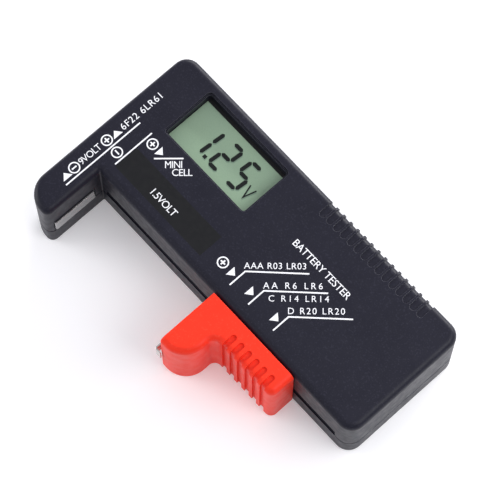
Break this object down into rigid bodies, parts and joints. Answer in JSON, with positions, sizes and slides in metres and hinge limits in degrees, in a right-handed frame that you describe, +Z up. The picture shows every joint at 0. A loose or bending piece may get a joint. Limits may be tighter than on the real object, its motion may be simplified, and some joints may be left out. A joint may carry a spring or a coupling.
{
  "type": "battery tester",
  "caption": "Handheld battery tester: flat case with a contact arm, a display window and a spring-loaded sliding contact that closes a battery bay.",
  "frame": {"origin": "under the middle of the bounding box, on the surface that the tester lies on", "axes": "+X along the case away from the contact arm, +Y across it towards the ribbed long edge, +Z up out of the face"},
  "size_m": [0.11, 0.0616, 0.0245],
  "materials": {
    "case_black": "fine spark-eroded",
    "slider_red": "satin",
    "nickel": "bright nickel",
    "screw_steel": "zinc plated",
    "lcd_film": "satin film",
    "lcd_glass": "clear",
    "lcd_back": "satin reflector",
    "natural_plastic": "plain",
    "zebra_rubber": "striped",
    "board_green": "solder mask",
    "epoxy_black": "resin",
    "component_blue": "lacquer",
    "component_tan": "lacquer",
    "component_ceramic": "unglazed",
    "lead_red": "insulation",
    "lead_black": "insulation",
    "label_silver": "foil paper",
    "spring_steel": "bright wire"
  },
  "bodies": {
    "case": {"top_shell": "case_black", "bottom_shell": "case_black", "case_screws": "screw_steel", "rear_label": "label_silver", "lcd_front_polariser": "lcd_film", "lcd_front_glass": "lcd_glass", "lcd_rear_glass": "lcd_glass", "lcd_reflector": "lcd_back", "lcd_spacer_frame": "natural_plastic", "zebra_connector": "zebra_rubber", "pcb": "board_green", "pcb_screws": "screw_steel", "chip_blob": "epoxy_black", "capacitors": "component_blue", "resistors": "component_tan", "load_resistor": "component_ceramic", "trimmer": "component_blue", "transistor": "epoxy_black", "arm_contact": "nickel", "ninevolt_contact_positive": "nickel", "ninevolt_contact_negative": "nickel", "spring_anchor": "screw_steel", "lead_spring": "lead_red", "lead_arm": "lead_black", "lead_ninevolt_positive": "lead_red", "lead_ninevolt_negative": "lead_black"},
    "slider": {"slider_body": "slider_red", "slider_contact": "nickel", "slider_foot": "natural_plastic", "slider_screws": "screw_steel", "extension_spring": "spring_steel"}
  },
  "joints": [
    {"name": "slider_travel", "type": "slide", "parent": "case", "child": "slider", "axis": [1, 0, 0], "range_m": [-0.0443, 0.018], "stiffness_N_per_m": 20, "springref_m": -0.055, "deforming": ["extension_spring"]}
  ]
}
